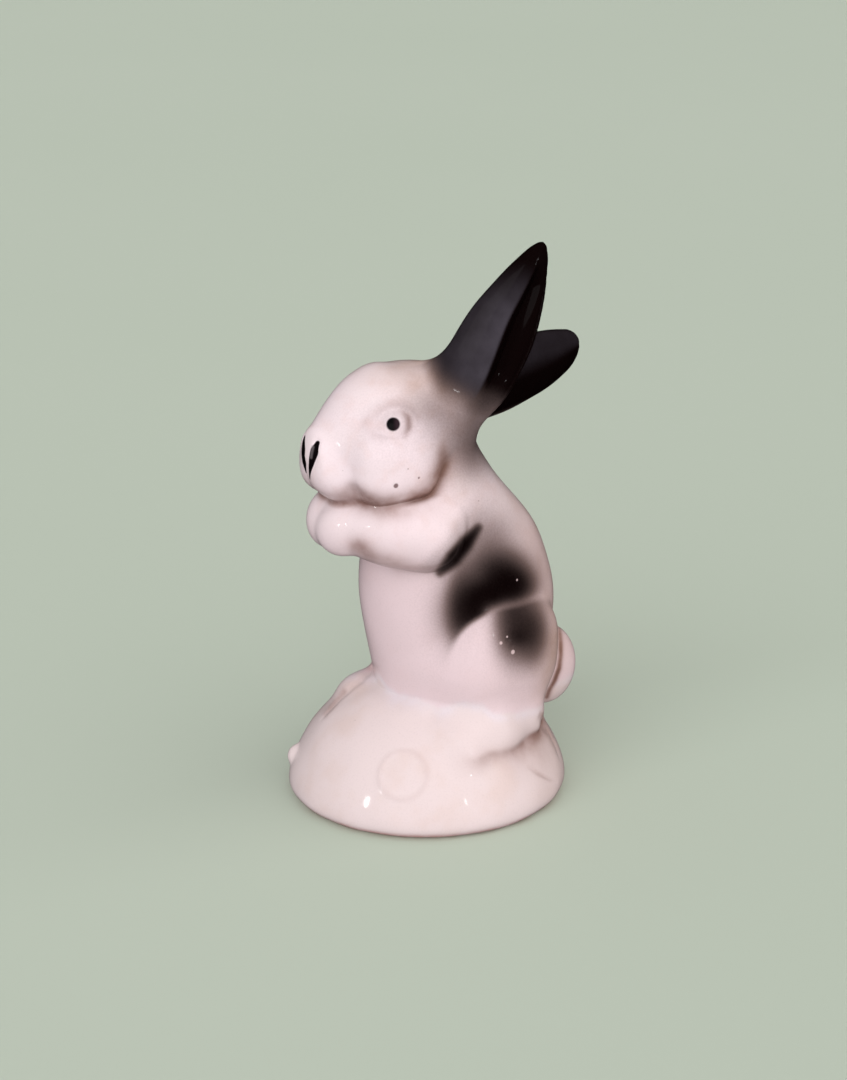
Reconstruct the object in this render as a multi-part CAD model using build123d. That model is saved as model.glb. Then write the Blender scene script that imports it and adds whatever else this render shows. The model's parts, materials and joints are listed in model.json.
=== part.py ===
from build123d import *
import math
import os

# Glazed ceramic rabbit figurine, sitting up on a mound, paws together under the chin.
# Millimetres. +Z up, origin at the middle of the foot ring, on the surface it stands on.
# The rabbit looks along -Y; its left side is +X.

# ------------------------------------------------------------------ driving dimensions
WALL = 4.0                 # cast wall of mound, torso and head
FLUE_D = 8.0               # hole that joins the hollows of torso and head
VENT_D = 3.0               # air hole in the underside, for firing

# mound: height, radius. Its middle is at y = MOUND_Y in these tables, and at y = 0 in the finished part
MOUND_Y = 0.8
MOUND = [(0.0, 33.4), (1.3, 34.8), (4.0, 35.6), (8.0, 34.6), (13.0, 32.2),
         (18.0, 28.9), (22.0, 25.4), (26.0, 20.9), (29.5, 14.5), (31.0, 8.0)]
MOUND_HOLLOW = [(4.5, 29.4), (8.0, 29.8), (13.0, 27.2), (17.0, 24.0), (21.0, 19.0), (24.0, 12.0)]
VENT_Y = 14.0              # the air hole is this far behind the middle of the underside
LOBE = ((-8.0, -12.5, 19.5), 11.5, 9.3)      # rise at the front of the mound, on its right
KNOB = ((-13.6, -29.6, 8.0), 2.9)            # small bead low on the front

# torso: height, centre y, half width x, half depth y
TORSO = [(2.0, 9.4, 17.6, 19.4), (12.0, 9.6, 18.2, 20.3), (22.0, 9.8, 19.1, 21.3), (31.0, 9.75, 19.9, 22.6),
         (40.0, 9.7, 20.6, 24.1), (50.0, 9.25, 21.2, 25.5), (60.0, 8.25, 20.95, 24.6), (69.0, 6.9, 20.2, 22.2),
         (77.0, 4.6, 18.7, 18.9), (85.0, 2.0, 15.4, 15.0), (92.0, -0.6, 12.2, 10.4)]
BED_FRONT = (-14.0, 25.0)  # y, z of the torso's lower rim at the front, bedded in the mound
BED_REAR = (31.0, 10.5)    # and at the rear
NECK_WALL_Z = 88.0         # top of the torso's hollow

# head: y, centre z, radii from straight up to straight down in 22.5 degree steps
HEAD = [
    (-32.2, 93.0, [2.4, 2.5, 2.5, 2.6, 2.9, 3.5, 3.9, 3.2, 2.4]),
    (-30.8, 92.5, [6.9, 6.6, 6.2, 6.6, 7.1, 8.0, 8.7, 8.1, 6.9]),
    (-28.0, 92.8, [9.2, 9.1, 8.8, 8.5, 8.9, 10.4, 11.3, 10.8, 9.2]),
    (-24.4, 94.5, [12.0, 11.8, 11.3, 11.4, 12.6, 13.6, 13.9, 13.5, 12.0]),
    (-20.2, 96.6, [14.1, 13.9, 13.5, 14.2, 16.9, 18.8, 18.7, 15.9, 14.1]),
    (-15.2, 97.9, [15.5, 15.4, 15.1, 15.3, 17.9, 20.1, 21.1, 17.9, 15.6]),
    (-10.2, 98.0, [16.0, 16.0, 16.0, 15.9, 17.8, 19.7, 21.0, 17.9, 15.9]),
    (-5.2, 98.0, [15.5, 15.6, 15.8, 16.1, 17.1, 18.6, 19.8, 17.0, 15.4]),
    (-0.2, 97.8, [14.3, 14.4, 14.6, 14.8, 15.0, 15.5, 15.7, 14.6, 14.3]),
    (4.0, 97.3, [12.0, 12.1, 12.3, 12.6, 12.7, 12.5, 12.2, 12.0, 11.9]),
    (7.2, 97.0, [9.1, 9.1, 9.2, 9.3, 9.4, 9.4, 9.3, 9.2, 9.1]),
    (9.6, 97.0, [4.1, 4.1, 4.2, 4.2, 4.3, 4.2, 4.2, 4.1, 4.1]),
]
HEAD_HOLLOW = ((0.0, -9.0, 102.0), 12.0, 6.8)   # centre, half length, half width
EYE = ((12.8, -13.6, 102.1), 3.6)

# ears: root, tip, the way the hollow looks; rows of share of length, half width, half thickness
LEFT_EAR = ((9.0, 6.1, 105.5), (14.0, 25.2, 143.9), (0.93, -0.33, 0.0))
LEFT_EAR_ROWS = [(-0.20, 8.5, 5.2), (0.0, 8.9, 5.0), (0.15, 9.2, 4.6), (0.30, 9.35, 4.1), (0.45, 9.0, 3.7),
                 (0.60, 7.8, 3.2), (0.76, 5.8, 2.6), (0.88, 3.9, 1.9), (0.96, 2.1, 1.2), (0.995, 0.8, 0.6)]
RIGHT_EAR = ((-8.0, 9.4, 102.4), (-13.0, 50.4, 109.6), (-0.95, -0.15, 0.15))
RIGHT_EAR_ROWS = [(-0.20, 7.0, 4.4), (0.0, 9.2, 4.8), (0.15, 10.2, 4.7), (0.30, 10.3, 4.2), (0.45, 10.1, 3.7),
                  (0.60, 9.4, 3.2), (0.76, 8.2, 2.6), (0.88, 6.4, 1.9), (0.96, 4.0, 1.2), (0.995, 1.8, 0.6)]
RIGHT_EAR_SAG = 1.6        # the laid-back ear hangs this much at mid length
EAR_SCOOP = (15.0, 3.6)    # half length and half width of the hollow in each ear

# left foreleg: from the tip of the paw to behind the elbow, rows of share of length and radius
FORELEG = ((4.2, -30.4, 75.2), (16.5, 1.4, 72.2))
FORELEG_ROWS = [(0.0, 1.2), (0.03, 3.0), (0.09, 5.2), (0.17, 6.4), (0.27, 6.7), (0.42, 7.6), (0.60, 7.9),
                (0.76, 7.6), (0.88, 6.0), (0.96, 3.7), (1.0, 1.4)]
SHOULDER = ((11.2, -2.0, 77.3), (5.8, -8.6, -8.3), 13.5, 8.2)    # centre, direction, half length, half width

# left haunch, left hind foot, tail
HAUNCH = ((3.3, 11.3, 40.4), (25.0, 16.7, 40.4))         # inner and outer end of the thigh pad
HAUNCH_ROWS = [(0.0, 8.4), (0.10, 11.9), (0.25, 14.9), (0.46, 16.2), (0.65, 15.4), (0.80, 13.0), (0.92, 8.8),
               (0.98, 4.4), (1.0, 1.4)]
HIND_FOOT = ((25.0, -4.8, 17.6), (14.1, 25.0, 23.3))     # toe, heel
HIND_FOOT_ROWS = [(0.0, 1.0), (0.05, 2.6), (0.16, 4.9), (0.40, 6.4), (0.62, 6.6), (0.80, 6.2), (0.92, 4.6),
                  (0.98, 2.6), (1.0, 1.2)]
TAIL = ((0.0, 33.8, 28.2), 10.9, 8.7)        # centre, half height, half width


# ------------------------------------------------------------------ helpers
def spindle(start, end, rows):
    """Turned limb between two points: rows of share of length and radius."""
    a, b = Vector(*start), Vector(*end)
    length = (b - a).length
    side = Spline(*[(u * length, r) for u, r in rows])
    outline = Curve() + [side, Line((length, rows[-1][1]), (length, 0)), Line((length, 0), (0, 0)),
                         Line((0, 0), (0, rows[0][1]))]
    body = revolve(make_face(outline), Axis.X)
    d = (b - a).normalized()
    side_dir = Vector(0, 0, 1) if abs(d.Z) < 0.9 else Vector(0, -1, 0)
    z_dir = (side_dir - d * d.dot(side_dir)).normalized()
    return Plane(origin=a, x_dir=d, z_dir=z_dir) * body


def spheroid(centre, direction, along, across):
    """Turned oval: half length along its direction, half width across it, with small flats at its ends."""
    c, d = Vector(*centre), Vector(*direction).normalized()
    angles = [10, 24, 40, 57, 74, 90, 106, 123, 140, 156, 170]
    reach = along * math.cos(math.radians(angles[0]))
    rows = [((reach - along * math.cos(math.radians(t))) / (2 * reach), across * math.sin(math.radians(t)))
            for t in angles]
    return spindle(tuple(c - d * reach), tuple(c + d * reach), rows)


def ball(centre, radius):
    return Pos(*centre) * Sphere(radius)


def upright(rows, inset=0.0):
    """Stack of ovals: height, centre y, half width, half depth."""
    return loft([Pos(0, y, z) * Ellipse(rx - inset, ry - inset) for z, y, rx, ry in rows])


def head_loft(rows):
    """Row of rounded sections along y, the same on both sides."""
    sections = []
    for y, z, radii in rows:
        half = [(r * math.cos(math.radians(90 - 22.5 * i)), r * math.sin(math.radians(90 - 22.5 * i)))
                for i, r in enumerate(radii)]
        ring = [(0, half[0][1])] + half[1:-1] + [(0, half[-1][1])] + [(-x, h) for x, h in half[-2:0:-1]]
        face = make_face(Spline(*ring, periodic=True))
        sections.append(Plane(origin=(0, y, z), x_dir=(1, 0, 0), z_dir=(0, -1, 0)) * face)
    return loft(sections)


def turned(rows, y0):
    """Form turned about an upright axis: rows of height and radius."""
    side = Spline(*[(r, 0, z) for z, r in rows])
    z0, z1 = rows[0][0], rows[-1][0]
    outline = Curve() + [side, Line((rows[-1][1], 0, z1), (0, 0, z1)), Line((0, 0, z1), (0, 0, z0)),
                         Line((0, 0, z0), (rows[0][1], 0, z0))]
    return Pos(0, y0, 0) * revolve(make_face(outline), Axis.Z)


def ear(root, tip, face, rows, sag, flip):
    r, t = Vector(*root), Vector(*tip)
    axis = t - r
    d = axis.normalized()
    n = Vector(*face)
    n = (n - d * d.dot(n)).normalized()
    w = d.cross(n) * flip                      # towards the rear edge
    sections = []
    for u, half_w, half_t in rows:
        o = r + axis * u + w * (sag * 4 * u * (1 - u))
        sections.append(Plane(origin=o, x_dir=w, z_dir=d) * Ellipse(half_w, half_t))
    hollow = r + axis * 0.42 + w * (4.7 + sag) + n * 4.3
    return loft(sections) - spheroid(tuple(hollow), tuple(d), *EAR_SCOOP)


def mirrored(obj):
    return mirror(obj, Plane.YZ)


# ------------------------------------------------------------------ outer forms
mound_form = turned(MOUND, MOUND_Y)
fall = Vector(0, BED_REAR[0] - BED_FRONT[0], BED_REAR[1] - BED_FRONT[1]).normalized()
bed = Plane(origin=(0, BED_FRONT[0], BED_FRONT[1]), x_dir=fall, z_dir=Vector(1, 0, 0).cross(fall))
torso_solid = upright(TORSO)
torso_form = split(torso_solid, bisect_by=bed, keep=Keep.TOP)
head_form = head_loft(HEAD)
eye_l = Pos(*EYE[0]) * Rot(0, 0, 180) * Sphere(EYE[1])      # its seam lies on the inner side
eye_r = mirrored(eye_l)

# ------------------------------------------------------------------ mound
mound = mound_form + spheroid(LOBE[0], (0, 0, 1), LOBE[1], LOBE[2]) + ball(*KNOB)
mound = mound - turned(MOUND_HOLLOW, MOUND_Y) - torso_form
mound = mound - Pos(0, VENT_Y + MOUND_Y, 0) * Cylinder(VENT_D / 2, 20)

# ------------------------------------------------------------------ torso
hollow_rows = TORSO[:-1] + [(NECK_WALL_Z, 0.3, 13.3, 13.2)]
torso = torso_form - upright(hollow_rows, WALL)
flue = Pos(0, -3.0, 92.0) * Cylinder(FLUE_D / 2, 14)
torso = torso - flue

# ------------------------------------------------------------------ head
head = head_form - torso_form
head = head - spheroid(HEAD_HOLLOW[0], (0, 1, 0), HEAD_HOLLOW[1], HEAD_HOLLOW[2])
head = head - flue - eye_l - eye_r

# ------------------------------------------------------------------ ears
left_ear = ear(*LEFT_EAR, LEFT_EAR_ROWS, 0.0, 1) - head_form
right_ear = ear(*RIGHT_EAR, RIGHT_EAR_ROWS, RIGHT_EAR_SAG, -1) - head_form - torso_form

# ------------------------------------------------------------------ forelegs
left_half = Pos(40, 0, 70) * Box(80, 160, 160)
left_foreleg = ((spindle(*FORELEG, FORELEG_ROWS) + spheroid(*SHOULDER)) & left_half) - torso_form - head_form

# ------------------------------------------------------------------ haunches, hind feet, tail
haunch_form = spindle(*HAUNCH, HAUNCH_ROWS)
left_haunch = haunch_form - torso_form - mound_form
left_hind_foot = spindle(*HIND_FOOT, HIND_FOOT_ROWS) - mound_form - torso_form - haunch_form
tail = spheroid(TAIL[0], (0, 0, 1), TAIL[1], TAIL[2]) - torso_form - mound_form

parts = {
    "mound_base": mound, "torso_shell": torso, "head_shell": head,
    "left_ear": left_ear, "right_ear": right_ear,
    "left_foreleg": left_foreleg, "right_foreleg": mirrored(left_foreleg),
    "left_haunch": left_haunch, "right_haunch": mirrored(left_haunch),
    "left_hind_foot": left_hind_foot, "right_hind_foot": mirrored(left_hind_foot),
    "tail": tail, "left_eye": eye_l, "right_eye": eye_r,
}

os.makedirs("parts", exist_ok=True)
for name, shape in parts.items():
    solids = sorted(shape.solids(), key=lambda s: -s.volume)
    print(name, [round(s.volume, 1) for s in solids], [s.is_valid for s in solids])
    export_step(Pos(0, -MOUND_Y, 0) * solids[0], f"parts/{name}.step")
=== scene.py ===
import json
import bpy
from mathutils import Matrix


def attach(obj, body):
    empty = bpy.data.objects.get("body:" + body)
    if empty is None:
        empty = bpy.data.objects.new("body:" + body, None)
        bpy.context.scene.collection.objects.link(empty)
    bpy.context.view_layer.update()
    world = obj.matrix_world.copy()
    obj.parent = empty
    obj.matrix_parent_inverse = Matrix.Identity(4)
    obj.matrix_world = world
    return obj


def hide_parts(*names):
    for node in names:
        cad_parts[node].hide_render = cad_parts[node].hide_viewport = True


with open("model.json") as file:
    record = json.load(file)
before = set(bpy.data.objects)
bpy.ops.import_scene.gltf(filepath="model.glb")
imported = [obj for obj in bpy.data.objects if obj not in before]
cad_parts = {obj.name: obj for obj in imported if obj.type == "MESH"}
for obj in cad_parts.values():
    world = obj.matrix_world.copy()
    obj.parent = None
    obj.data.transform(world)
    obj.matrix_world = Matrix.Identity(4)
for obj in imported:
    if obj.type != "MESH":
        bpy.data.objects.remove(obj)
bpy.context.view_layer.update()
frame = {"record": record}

from concurrent.futures import ThreadPoolExecutor

import bpy
import numpy as np
from mathutils import Vector

F = np.float32


# ---------------------------------------------------------------- forms (millimetres)
def smin(a, b, k):
    h = np.maximum(k - np.abs(a - b), 0) / k
    return np.minimum(a, b) - h * h * k * F(0.25)


def smax(a, b, k):
    return -smin(-a, -b, k)


def ss(x, a, b):
    t = np.clip((x - F(a)) / F(b - a), 0, 1)
    return t * t * (3 - 2 * t)


def turn(ax, ay, az):
    a, b, c = np.radians([ax, ay, az])
    rx = np.array([[1, 0, 0], [0, np.cos(a), -np.sin(a)], [0, np.sin(a), np.cos(a)]])
    ry = np.array([[np.cos(b), 0, np.sin(b)], [0, 1, 0], [-np.sin(b), 0, np.cos(b)]])
    rz = np.array([[np.cos(c), -np.sin(c), 0], [np.sin(c), np.cos(c), 0], [0, 0, 1]])
    return (rz @ ry @ rx).astype(F)


def along(d, up=(0, 0, 1)):
    a = np.asarray(d, float)
    a = a / np.linalg.norm(a)
    u = np.asarray(up, float)
    c = u - a * (a @ u)
    c /= np.linalg.norm(c)
    return np.stack([a, np.cross(c, a), c], 1).astype(F)


def ell(P, c, r, R=None):
    q = P - np.asarray(c, dtype=F)
    if R is not None:
        q = q @ R
    r = np.asarray(r, dtype=F)
    k0 = np.sqrt(((q / r) ** 2).sum(-1))
    k1 = np.sqrt(((q / (r * r)) ** 2).sum(-1))
    return k0 * (k0 - 1) / np.maximum(k1, F(1e-6))


def pad(P, c, r, R=None, p=2.6):
    """Cushion: an ellipsoid with flatter faces and tighter edges."""
    q = P - np.asarray(c, dtype=F)
    if R is not None:
        q = q @ R
    r = np.asarray(r, dtype=F)
    a = np.abs(q / r) + F(1e-4)
    k = (a ** F(p)).sum(-1) ** F(1 / p)
    g = np.sqrt(((a ** F(p - 1) / r) ** 2).sum(-1)) * k ** F(1 - p)
    return (k - 1) / np.maximum(g, F(1e-4))


def cone(P, a, b, ra, rb):
    a = np.asarray(a, dtype=F)
    b = np.asarray(b, dtype=F)
    ab = b - a
    L = float(np.sqrt(ab @ ab))
    ab = ab / F(L)
    q = P - a
    y = q @ ab
    x = np.sqrt(np.maximum((q * q).sum(-1) - y * y, 0))
    s = (ra - rb) / L
    c = float(np.sqrt(1 - s * s))
    k = -s * x + c * y
    d = c * x + s * y - F(ra)
    d = np.where(k < 0, np.sqrt(x * x + y * y) - F(ra), d)
    return np.where(k > c * L, np.sqrt(x * x + (y - F(L)) ** 2) - F(rb), d).astype(F)


def chain(P, pts, k):
    d = None
    for p, q in zip(pts[:-1], pts[1:]):
        e = cone(P, p[:3], q[:3], p[3], q[3])
        d = e if d is None else smin(d, e, k)
    return d


def near(P, pts):
    """Distance to a line through points, and how far along it (0 to 1) the nearest point is."""
    pts = np.asarray(pts, float)
    seg = np.linalg.norm(np.diff(pts, axis=0), axis=1)
    run = np.concatenate([[0], np.cumsum(seg)])
    best = None
    at = None
    for i in range(len(seg)):
        a = pts[i].astype(F)
        b = pts[i + 1].astype(F)
        ab = b - a
        t = np.clip(((P - a) @ ab) / F(ab @ ab), 0, 1)
        d = np.sqrt(((P - a - t[..., None] * ab) ** 2).sum(-1))
        u = (F(run[i]) + t * F(seg[i])) / F(run[-1])
        if best is None:
            best, at = d, u
        else:
            m = d < best
            best = np.where(m, d, best)
            at = np.where(m, u, at)
    return best, at


_spline = {}


def table(t, ts, vs):
    """Natural cubic spline through a table, held at its ends."""
    key = (tuple(ts), tuple(vs))
    if key not in _spline:
        x = np.asarray(ts, float)
        y = np.asarray(vs, float)
        n = len(x)
        h = np.diff(x)
        A = np.zeros((n, n))
        r = np.zeros(n)
        A[0, 0] = A[-1, -1] = 1
        for i in range(1, n - 1):
            A[i, i - 1] = h[i - 1]
            A[i, i] = 2 * (h[i - 1] + h[i])
            A[i, i + 1] = h[i]
            r[i] = 6 * ((y[i + 1] - y[i]) / h[i] - (y[i] - y[i - 1]) / h[i - 1])
        _spline[key] = (x, y, h, np.linalg.solve(A, r))
    x, y, h, M = _spline[key]
    t = np.clip(t, x[0], x[-1])
    i = np.clip(np.searchsorted(x, t, side="right") - 1, 0, len(x) - 2)
    hi = h[i]
    a = (x[i + 1] - t) / hi
    b = 1 - a
    return (a * y[i] + b * y[i + 1] + ((a**3 - a) * M[i] + (b**3 - b) * M[i + 1]) * hi * hi / 6).astype(F)


def oval(u, v, ru, rv):
    k0 = np.sqrt((u / ru) ** 2 + (v / rv) ** 2)
    k1 = np.sqrt((u / (ru * ru)) ** 2 + (v / (rv * rv)) ** 2)
    d = k0 * (k0 - 1) / np.maximum(k1, F(1e-6))
    return np.where(k0 < 0.3, np.maximum(d, -np.minimum(ru, rv)), d)


def stack(P, tab, cap):
    z = P[..., 2]
    tab = np.asarray(tab, float)
    yc, rx, ry = (table(z, tab[:, 0], tab[:, i]) for i in (1, 2, 3))
    d = oval(P[..., 0], P[..., 1] - yc, rx, ry) * F(0.93)
    return smax(smax(d, z - F(tab[-1, 0]), cap), F(tab[0, 0]) - z, cap)


def skull(P, tab):
    y = P[..., 1]
    tab = np.asarray(tab, float)
    zc, rz, rx = (table(y, tab[:, 0], tab[:, i]) for i in (1, 2, 3))
    d = oval(P[..., 0], P[..., 2] - zc, rx, rz) * F(0.9)
    return smax(smax(d, F(tab[0, 0]) - y, 3.0), y - F(tab[-1, 0]), 5.0)


# ---------------------------------------------------------------- the rabbit
# body: height, middle in y, half width, half depth
TORSO = [(10, 8.8, 18.0, 20.0), (24, 9.0, 19.3, 21.4), (40, 8.9, 20.6, 24.1), (51, 8.4, 21.2, 25.5),
         (62, 7.2, 20.9, 24.3), (72, 5.6, 19.9, 21.3), (80, 3.0, 18.5, 17.4), (87, 0.9, 17.0, 14.2),
         (94, -1.2, 15.0, 11.8), (102, -3.6, 11.6, 8.2), (109, -5.0, 7.4, 5.6)]
MOUND = [(0, -0.3, 33.3, 33.7), (1.3, -0.3, 34.7, 35.1), (4, -0.1, 35.4, 35.9), (8, 0.1, 34.3, 34.9), (13, 0.2, 31.9, 32.5),
         (18, 0.2, 28.6, 29.2), (22, 0.6, 25.2, 25.6), (26, 1.2, 20.8, 21.0), (29.5, 2.2, 14.5, 14.5), (31, 2.7, 9, 9)]
# head: y, middle height, half height, half width
HEAD = [(-33.3, 93.6, 2.6, 3.0), (-32.5, 93.2, 5.0, 5.2), (-30.2, 93.2, 7.5, 7.4), (-26.4, 94.6, 10.4, 9.7),
        (-20.8, 97.2, 13.7, 12.4), (-13.8, 98.6, 15.3, 15.0), (-6.8, 98.4, 15.2, 16.0), (-0.8, 97.8, 14.2, 14.8),
        (3.6, 97.0, 11.4, 12.2), (7.0, 97.0, 8.8, 9.0), (9.4, 97.0, 5.6, 5.8)]
EYE = (12.05, -14.35, 101.95)
EYE_R = 4.1

EAR_U = [-0.25, 0.0, 0.15, 0.30, 0.45, 0.60, 0.76, 0.88, 0.95, 1.0]
EAR_T = [3.4, 4.8, 4.7, 4.2, 3.7, 3.2, 2.6, 1.9, 1.2, 0.5]
EAR_WL = [4.6, 8.0, 9.3, 9.5, 9.0, 7.7, 5.6, 3.6, 2.2, 0.6]
EAR_WR = [6.4, 9.2, 10.2, 10.3, 10.1, 9.4, 8.2, 6.4, 4.5, 1.6]


EAR_L = ((9, 5.3, 105.5), (14, 24.6, 144.2), (0.90, -0.40, 0.0), EAR_WL, 0.8, 0.3)
EAR_R = ((-8.0, 8.6, 102.4), (-13, 49.6, 109.6), (-0.95, -0.15, 0.15), EAR_WR, 0.8, 1.6)


def ear_place(P, root, tip, face, W, bow, side):
    """Place on an ear: share of its length, across it, out from it; then its half width, half thickness and length."""
    root = np.asarray(root, float)
    ax = np.asarray(tip, float) - root
    L = np.linalg.norm(ax)
    ax /= L
    fn = np.asarray(face, float)
    fn = fn - ax * (fn @ ax)
    fn /= np.linalg.norm(fn)
    sd = np.cross(ax, fn)
    if (sd[1] < 0 and abs(sd[1]) > abs(sd[2])) or (abs(sd[2]) >= abs(sd[1]) and sd[2] > 0):
        sd = -sd
    q = P - root.astype(F)
    u = (q @ ax.astype(F)) / F(L)
    v = q @ sd.astype(F) - F(side) * (4 * u * (1 - u))
    n = q @ fn.astype(F) - F(bow) * (4 * u * (1 - u))
    return u, v, n, table(u, EAR_U, W), table(u, EAR_U, EAR_T), L


def ear_ridge(u, hw, ridge):
    return hw * (F(ridge) + F(0.10) * ss(u, 0.5, 0.9) + F(0.20) * (1 - ss(u, 0.05, 0.6)))


def ear(P, place, ridge, deep):
    u, v, n, hw, ht, L = ear_place(P, *place)
    k0 = np.sqrt((v / hw) ** 2 + (n / ht) ** 2)
    k1 = np.sqrt((v / hw**2) ** 2 + (n / ht**2) ** 2)
    d = k0 * (k0 - 1) / np.maximum(k1, F(1e-6))
    d = np.where(k0 < 0.3, np.maximum(d, -ht), d) * F(0.85)
    d = smax(d, (u - 1) * F(L), 1.2)
    d = smax(d, (F(-0.25) - u) * F(L), 3.0)
    vr = ear_ridge(u, hw, ridge)
    g = np.clip((v - vr) / (hw - vr), 0, 1)
    m = ss(u, 0.0, 0.26) * (1 - ss(u, 0.72, 0.92))
    dip = F(deep) * m * ss(g, 0.0, 0.26) * (1 - F(0.72) * ss(g, 0.30, 0.86)) * (1 - ss(g, 0.86, 1.0))
    x = np.clip(v / hw, -1.6, 1.6)
    off = F(5) * ss(vr - v, -0.3, 2.5) + F(1.5) * (1 - ss(u, 0.02, 0.25)) + F(5) * (1 - ss(u, -0.12, 0.03))
    return d, smax(d, (n - ht * (1 - x * x) + dip) * F(0.7) - off, 0.3)


def eye_field(A):
    """Eye hollow and lids as a swelling of the face, in millimetres."""
    q = A - np.array(EYE, F)
    n = np.array((0.80, -0.38, 0.46))
    n /= np.linalg.norm(n)
    t = np.array((-0.42, -0.90, -0.02))
    t = t - n * (t @ n)
    t /= np.linalg.norm(t)
    u = np.cross(t, n)
    u = u if u[2] > 0 else -u
    a, b, c = q @ t.astype(F), q @ u.astype(F), q @ n.astype(F)
    b = b + F(0.10) * a
    rho = np.sqrt((a / F(6.6)) ** 2 + (b / np.where(b > 0, F(5.1), F(4.3))) ** 2)
    top = F(0.35) + F(0.65) * ss(b, -3, 2.5)
    lid = F(0.40) * np.exp(-(((rho - F(1.04)) / F(0.26)) ** 2)) * top
    pit = F(-0.55) * np.exp(-(((rho - F(0.74)) / F(0.16)) ** 2)) * (F(0.6) + F(0.4) * ss(-a, -1.5, 3.5))
    return (lid + pit) * ss(c, -6, -3)


NOSTRIL = [(3.7, -31.2, 97.6), (4.6, -32.4, 95.2), (4.9, -33.2, 92.8), (4.4, -33.8, 88.8)]


def forms(P):
    """Distance to each casting, before they are run together."""
    X, Y, Z = P[..., 0], P[..., 1], P[..., 2]
    A = P.copy()
    A[..., 0] = np.abs(X)
    out = {}
    m = stack(P, MOUND, 0.8)
    m = smin(m, ell(P, (-8.4, -13.0, 18.7), (10.5, 8.2, 11.3), turn(0, 0, 25)), 2.0)
    m = smin(m, ell(P, (-13.6, -30.4, 8.0), (2.8, 3.0, 3.0)), 1.0)
    out["mound"] = smax(m, -Z, 0.8)
    t = stack(P, TORSO, 4.0)
    out["torso"] = smin(t, ell(P, (0, -12.5, 79.5), (14.5, 15.5, 7.5)), 6)
    h = skull(P, HEAD)
    h = smin(h, pad(A, (7.4, -13.4, 92.4), (11.0, 12.74, 10.98), turn(0, 0, 5), 2.9), 3.0)
    h = smin(h, ell(A, (3.6, -24.5, 88.6), (6.6, 7.4, 6.6)), 3.2)
    h = h - eye_field(A)
    dn, un = near(A, NOSTRIL)
    h = h + F(0.6) * np.exp(-((dn / (F(1.15) - F(0.6) * un)) ** 2))
    out["head"] = h
    out["ear_l"], out["_ear_l"] = ear(P, EAR_L, 0.02, 2.9)
    out["ear_r"], out["_ear_r"] = ear(P, EAR_R, 0.05, 2.4)
    B = P.copy()
    B[..., 0] = np.sqrt(X * X + F(3.5))
    arm = chain(B, [(8.0, 2.0, 82.0, 8.6), (13.8, -6.6, 73.7, 7.8), (10.6, -15.0, 75.5, 8.0), (5.2, -23.0, 75.8, 6.7)], 6.0)
    out["foreleg"] = smin(arm, ell(B, (3.5, -25.0, 74.3), (6.2, 6.0, 6.5)), 2.0)
    out["haunch"] = pad(A, (12.6, 12.8, 40.4), (12.8, 16.7, 16.0), turn(0, 0, 14), 2.6)
    out["foot"] = chain(A, [(16.0, 18.2, 22.2, 6.2), (20.2, 8.5, 20.4, 6.6), (23.2, -0.5, 18.6, 5.4)], 4.0)
    out["tail"] = ell(P, (0, 33.0, 28.2), (8.5, 9.2, 10.9))
    out["eye"] = np.sqrt(((A - np.array(EYE, F)) ** 2).sum(-1)) - F(EYE_R)
    return out


# creases: line, depth along it, half width, on both sides
CREASES = [
    ([(21.1, 22.1, 22.4), (15.1, 27.4, 15.8), (15.9, 29.4, 11.5), (19.6, 28.6, 8.3)], (0.4, 0.7, 0.5, 0.0), 1.3, True),
    ([(28.5, 14.7, 13.1), (28.4, 17.4, 10.9), (26.9, 21.9, 7.8), (25.0, 24.9, 5.9)], (0.05, 0.3, 0.3, 0.1), 0.45, False),
    ([(-8.5, -11.8, 31.1), (-6.8, -15.9, 29.1), (-7.5, -19.0, 26.6), (-8.5, -21.4, 23.9), (-7.4, -27.0, 19.1)],
     (0.4, 0.8, 0.8, 0.6, 0.0), 1.1, False),
]
# dents: middle, depth, radius, on both sides
DENTS = [((11.8, -24.9, 86.4), 0.9, 2.4, True), ((18.6, -7.4, 27.3), 0.45, 2.0, True), ((25.5, 10.2, 47.2), 0.35, 0.55, False),
         ((25.0, 12.1, 48.3), 0.25, 0.45, False), ((25.7, 11.2, 45.5), 0.3, 0.5, False)]
RING = (24.5, -18.1, 15.6)
VENT_Y = 14.0
JOWL_FOLD = [(17.1, -3.6, 97.0), (17.0, -3.8, 93.6), (17.1, -5.2, 90.0), (17.1, -7.6, 86.3), (16.5, -11.1, 84.0),
             (16.4, -15.3, 83.3), (16.3, -19.0, 84.0), (15.5, -22.6, 85.3)]


def jowl_fold(P, p):
    """Groove under the cheeks, along the joint of head and body."""
    A = P.copy()
    A[..., 0] = np.abs(P[..., 0])
    gap = p["head"] - np.minimum(p["torso"], p["foreleg"])
    out = np.zeros_like(gap)
    m = (np.abs(gap) < 3) & (np.abs(A[..., 1] + 12) < 18) & (np.abs(A[..., 2] - 90) < 14)
    if m.any():
        d, u = near(A[m], JOWL_FOLD)
        depth = np.interp(u, (0, 0.2, 0.35, 0.7, 1), (0.1, 0.6, 0.8, 0.6, 0.1)).astype(F)
        out[m] = depth * np.exp(-((gap[m] / F(1.0)) ** 2)) * (1 - ss(d, 2.5, 6.0))
    return out


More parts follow.
